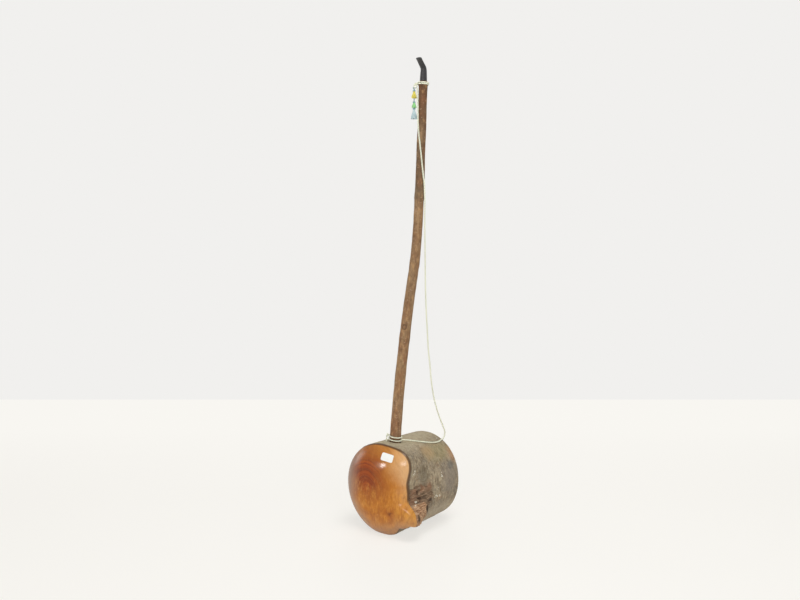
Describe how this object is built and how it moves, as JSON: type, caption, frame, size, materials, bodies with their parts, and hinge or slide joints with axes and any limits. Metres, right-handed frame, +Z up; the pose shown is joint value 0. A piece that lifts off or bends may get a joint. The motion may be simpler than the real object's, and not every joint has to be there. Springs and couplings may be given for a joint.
{
  "type": "long-stemmed log pipe",
  "caption": "Oversized tobacco pipe: bark-covered log bowl with a polished domed end, crooked branch stem, bent black mouthpiece, slack cord and yarn tassel.",
  "frame": {"origin": "on the resting flat under the log, below the log's axis, at the middle of the bark's length", "axes": "+Z up along the stem, +Y along the log towards the mouth of the bowl, -Y towards the polished dome, +X towards the side that the stem leans to"},
  "size_m": [0.1926, 0.2054, 0.995],
  "materials": {
    "polished_wood": "orange-brown heartwood under a clear gloss varnish",
    "log_bark": "grey-brown natural bark, matt, fissured",
    "sticker_paper": "blank white paper",
    "branch_bark": "red-brown smooth branch bark with pale specks, satin",
    "cork": "cork",
    "black_bit": "black hard rubber, worn satin",
    "cord_twine": "cream and pale green twisted twine",
    "teal_yarn": "teal yarn",
    "yellow_yarn": "yellow yarn",
    "green_yarn": "green yarn",
    "blue_yarn": "pale grey-blue yarn"
  },
  "bodies": {
    "bowl": {"bowl_block": "polished_wood", "bark_jacket": "log_bark", "paper_sticker": "sticker_paper"},
    "stem": {"stem_branch": "branch_bark", "stem_cork": "cork", "cord_top_winding": "cord_twine", "cord_top_knot": "cord_twine", "cord_hanging_run": "cord_twine", "cord_base_winding": "cord_twine", "cord_base_knot": "cord_twine", "cord_tails": "cord_twine"},
    "bit_cork": {"bit_cork": "cork"},
    "mouthpiece": {"mouthpiece": "black_bit"},
    "tassel": {"tassel_thread": "teal_yarn", "tassel_yellow_tuft": "yellow_yarn", "tassel_green_tuft": "green_yarn", "tassel_blue_tuft": "blue_yarn", "tassel_bindings": "teal_yarn"}
  },
  "joints": [
    {"name": "stem_pull", "type": "slide", "parent": "bowl", "child": "stem", "axis": [0.0698, 0, 0.9976], "range_m": [0, 0.055]},
    {"name": "mouthpiece_twist", "type": "hinge", "parent": "stem", "child": "bit_cork", "pos_m": [0.0799, -0.045, 0.9495], "axis": [0.0391, 0, 0.9992], "continuous": true},
    {"name": "mouthpiece_pull", "type": "slide", "parent": "bit_cork", "child": "mouthpiece", "axis": [0.0391, 0, 0.9992], "range_m": [0, 0.02]},
    {"name": "tassel_swing", "type": "hinge", "parent": "stem", "child": "tassel", "pos_m": [0.06527, -0.05627, 0.93659], "axis": [-0.6157, 0.788, 0], "range_deg": [0, 75]}
  ]
}
